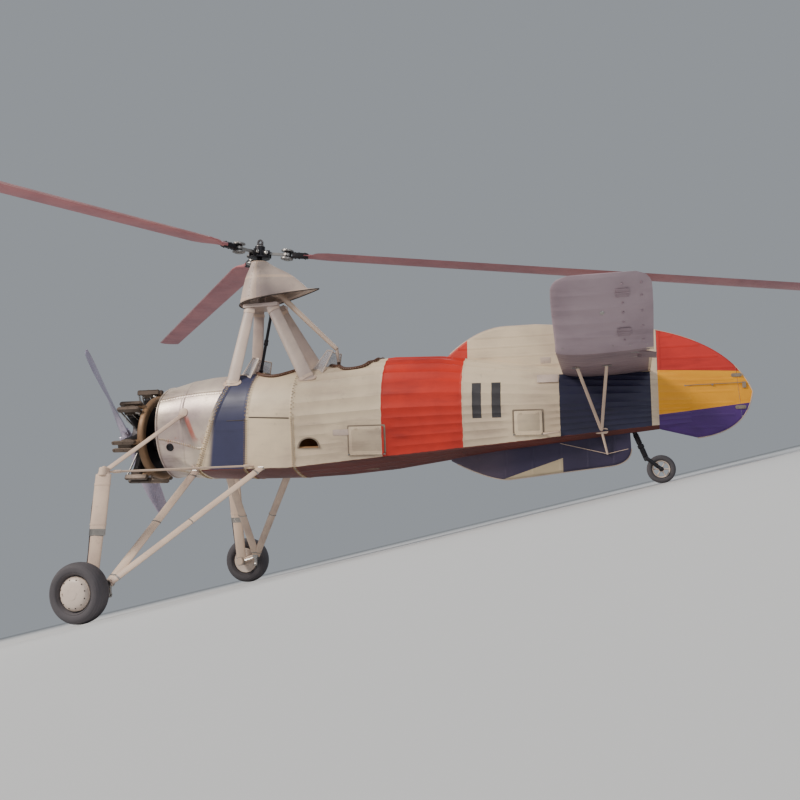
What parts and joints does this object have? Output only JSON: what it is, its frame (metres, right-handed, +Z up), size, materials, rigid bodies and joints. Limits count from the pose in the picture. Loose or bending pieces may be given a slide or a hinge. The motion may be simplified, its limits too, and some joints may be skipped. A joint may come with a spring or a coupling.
{
  "type": "two-seat autogyro",
  "caption": "Open-cockpit autogyro with a free rotor on a pylon, nose radial engine and propeller, upturned tailplane tips and a tripod undercarriage.",
  "frame": {"origin": "centre of the lifting eye bore on top of the rotor hub", "axes": "+X forward along the ground, +Y to port, +Z up; the aircraft stands parked on its three wheels, nose up"},
  "size_m": [8.8613, 9.7161, 3.9405],
  "materials": {
    "cream_alloy": "satin painted metal cowling",
    "doped_fabric": "doped linen, satin",
    "engine_alloy": "cast alloy",
    "crank_iron": "dark casting",
    "exhaust_brown": "heat-browned steel",
    "prop_metal": "polished alloy",
    "strut_paint": "cream paint",
    "dark_steel": "dark steel",
    "blade_red": "painted fabric",
    "clear_sheet": "clear sheet",
    "brown_leather": "worn leather",
    "black_panel": "black crackle",
    "bright_steel": "bright steel",
    "tail_yellow": "gloss paint",
    "black_rubber": "rubber",
    "hub_cream": "painted alloy"
  },
  "bodies": {
    "airframe": {"nose_cowl": "cream_alloy", "front_fuselage": "doped_fabric", "mid_fuselage": "doped_fabric", "rear_fuselage": "doped_fabric", "crankcase": "crank_iron", "cylinders": "engine_alloy", "exhaust_ring": "exhaust_brown", "pylon_front_legs": "strut_paint", "pylon_rear_legs": "strut_paint", "pylon_head": "dark_steel", "head_fairing": "cream_alloy", "starter_shaft": "dark_steel", "front_windscreen": "clear_sheet", "rear_windscreen": "clear_sheet", "seats": "brown_leather", "instrument_panels": "black_panel", "door_hinges": "bright_steel", "left_tailplane": "doped_fabric", "right_tailplane": "doped_fabric", "tail_tabs": "doped_fabric", "tailplane_struts": "strut_paint", "dorsal_fin": "doped_fabric", "tail_fin": "tail_yellow", "fin_tab": "tail_yellow", "ventral_fin": "doped_fabric", "left_shock_leg": "strut_paint", "right_shock_leg": "strut_paint", "left_gear_stays": "strut_paint", "right_gear_stays": "strut_paint", "left_upper_struts": "strut_paint", "right_upper_struts": "strut_paint", "left_axle": "bright_steel", "right_axle": "bright_steel", "tailwheel_leg": "strut_paint"},
    "propeller": {"propeller": "prop_metal", "prop_hub": "prop_metal"},
    "gimbal": {"head_gimbal": "dark_steel"},
    "tilting_head": {"rotor_head": "dark_steel", "control_column": "strut_paint"},
    "rotor": {"rotor_hub": "dark_steel"},
    "aft_blade": {"blade_link_1": "dark_steel", "blade_1": "blade_red"},
    "port_link": {"blade_link_2": "dark_steel"},
    "port_blade": {"blade_2": "blade_red"},
    "starboard_link": {"blade_link_3": "dark_steel"},
    "starboard_blade": {"blade_3": "blade_red"},
    "left_wheel": {"left_wheel": "hub_cream", "left_tyre": "black_rubber"},
    "right_wheel": {"right_wheel": "hub_cream", "right_tyre": "black_rubber"},
    "tail_fork": {"tailwheel_fork": "strut_paint"},
    "tail_wheel": {"tail_wheel": "strut_paint", "tail_tyre": "black_rubber"},
    "locker_door": {"locker_door": "cream_alloy"},
    "inspection_door": {"inspection_door": "cream_alloy"}
  },
  "joints": [
    {"name": "head_fore_aft", "type": "hinge", "parent": "airframe", "child": "gimbal", "pos_m": [0.11534, 0, -0.3851], "axis": [0, 1, 0], "range_deg": [-1.5, 6.5]},
    {"name": "head_lateral", "type": "hinge", "parent": "gimbal", "child": "tilting_head", "pos_m": [0.11534, 0, -0.3851], "axis": [0.958, 0, 0.2869], "range_deg": [-4, 4]},
    {"name": "rotor_spin", "type": "hinge", "parent": "tilting_head", "child": "rotor", "pos_m": [0.03213, 0, -0.10729], "axis": [-0.2869, 0, 0.958], "continuous": true},
    {"name": "aft_flap", "type": "hinge", "parent": "rotor", "child": "aft_blade", "pos_m": [-0.04334, -0.01389, -0.1299], "axis": [-0.1663, 0.9848, -0.0498], "range_deg": [0, 12]},
    {"name": "port_flap", "type": "hinge", "parent": "rotor", "child": "port_link", "pos_m": [0.05835, 0.07518, -0.09944], "axis": [0.9002, -0.342, 0.2696], "range_deg": [0, 12]},
    {"name": "starboard_flap", "type": "hinge", "parent": "rotor", "child": "starboard_link", "pos_m": [0.08139, -0.06128, -0.09254], "axis": [-0.7338, -0.6428, -0.2198], "range_deg": [0, 12]},
    {"name": "port_fold", "type": "hinge", "parent": "port_link", "child": "port_blade", "pos_m": [0.12631, 0.26293, -0.08819], "axis": [-0.2723, 0.041, 0.9613], "range_deg": [0, 110]},
    {"name": "starboard_fold", "type": "hinge", "parent": "starboard_link", "child": "starboard_blade", "pos_m": [0.20693, -0.21435, -0.06405], "axis": [0.2598, 0.0334, -0.9651], "range_deg": [0, 110]},
    {"name": "propeller_spin", "type": "hinge", "parent": "airframe", "child": "propeller", "pos_m": [1.85791, 0, -1.52348], "axis": [0.9737, 0, 0.2279], "continuous": true},
    {"name": "left_wheel_spin", "type": "hinge", "parent": "airframe", "child": "left_wheel", "pos_m": [1.59189, 1.544, -2.96709], "axis": [0, 1, 0], "continuous": true},
    {"name": "right_wheel_spin", "type": "hinge", "parent": "airframe", "child": "right_wheel", "pos_m": [1.59189, -1.544, -2.96709], "axis": [0, 1, 0], "continuous": true},
    {"name": "tail_steer", "type": "hinge", "parent": "airframe", "child": "tail_fork", "pos_m": [-2.98403, 0, -2.87918], "axis": [0.1437, 0, 0.9896], "range_deg": [-30, 30]},
    {"name": "tail_wheel_spin", "type": "hinge", "parent": "tail_fork", "child": "tail_wheel", "pos_m": [-3.09275, 0, -3.09709], "axis": [0, 1, 0], "continuous": true},
    {"name": "locker_door_hinge", "type": "hinge", "parent": "airframe", "child": "locker_door", "pos_m": [-0.67932, 0.33618, -2.35398], "axis": [-0.9704, -0.0817, -0.2271], "range_deg": [0, 95]},
    {"name": "inspection_door_hinge", "type": "hinge", "parent": "airframe", "child": "inspection_door", "pos_m": [-2.10432, 0.2035, -2.5413], "axis": [-0.9687, -0.1008, -0.2267], "range_deg": [0, 95]}
  ]
}
